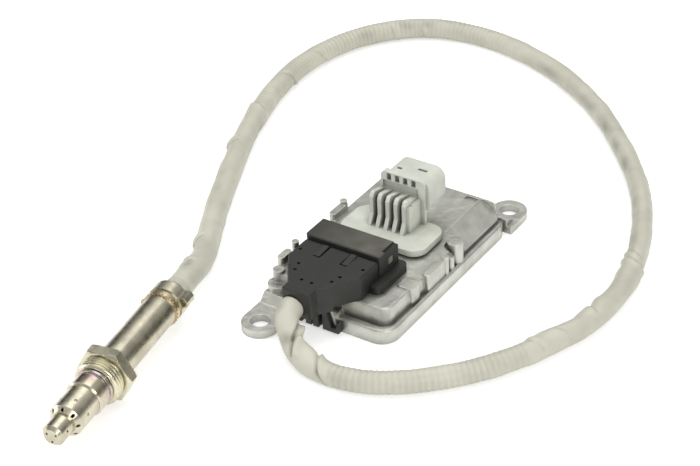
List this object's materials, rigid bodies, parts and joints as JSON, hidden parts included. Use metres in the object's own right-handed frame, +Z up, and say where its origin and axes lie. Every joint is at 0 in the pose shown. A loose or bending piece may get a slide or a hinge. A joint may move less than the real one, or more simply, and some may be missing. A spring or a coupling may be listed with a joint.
{
  "type": "nitrogen oxide sensor",
  "caption": "Exhaust nitrogen oxide sensor: a cast control unit with vehicle socket and clipped plug, a sleeved cable and a steel probe with a rotating gland nut.",
  "frame": {"origin": "midway between the two mounting holes, on the plane that the control unit stands on", "axes": "+Z up, along the mounting holes; +Y toward the mouth of the vehicle socket; +X across the control unit"},
  "size_m": [0.2389, 0.3733, 0.0387],
  "materials": {
    "cast_aluminium": "as die-cast, matt",
    "sheet_aluminium": "rolled, satin",
    "black_plastic": "fine grain, glass-filled",
    "grey_plastic": "fine grain",
    "dark_rubber": "matt",
    "grommet_rubber": "matt",
    "board": "satin",
    "chips": "satin",
    "pin_metal": "tin over brass, satin",
    "steel_bright": "turned and plated, bright",
    "steel_satin": "drawn, satin",
    "brass": "rolled",
    "ceramic": "fired, satin",
    "powder": "pressed, matt",
    "wire_jacket": "smooth",
    "cable_sleeve": "soft sleeve, matt"
  },
  "bodies": {
    "sensor": {"case": "cast_aluminium", "bottom_cover": "sheet_aluminium", "cover_seal": "dark_rubber", "circuit_board": "board", "board_parts": "chips", "socket_pins": "pin_metal", "vehicle_socket": "grey_plastic", "socket_gasket": "dark_rubber", "header_pins": "pin_metal", "cable_header": "black_plastic", "cable_plug": "black_plastic", "lock_bar": "black_plastic", "inner_shield": "steel_bright", "outer_shield": "steel_bright", "sensor_body": "steel_bright", "rear_tube": "steel_bright", "crimp_ring": "brass", "end_ferrule": "steel_satin", "ear_clamp": "steel_satin", "cable_grommet": "grommet_rubber", "sensing_strip": "ceramic", "front_ceramic": "ceramic", "powder_seal": "powder", "rear_ceramic": "ceramic", "contact_holder": "ceramic", "contact_clips": "pin_metal", "wire_seal": "grommet_rubber", "lead_wires": "wire_jacket", "sensor_cable": "cable_sleeve"},
    "nut": {"gland_nut": "steel_bright"}
  },
  "joints": [
    {"name": "gland_nut_spin", "type": "hinge", "parent": "sensor", "child": "nut", "pos_m": [-0.05027, -0.13193, 0.011], "axis": [0.1719, -0.9851, 0], "continuous": true}
  ]
}
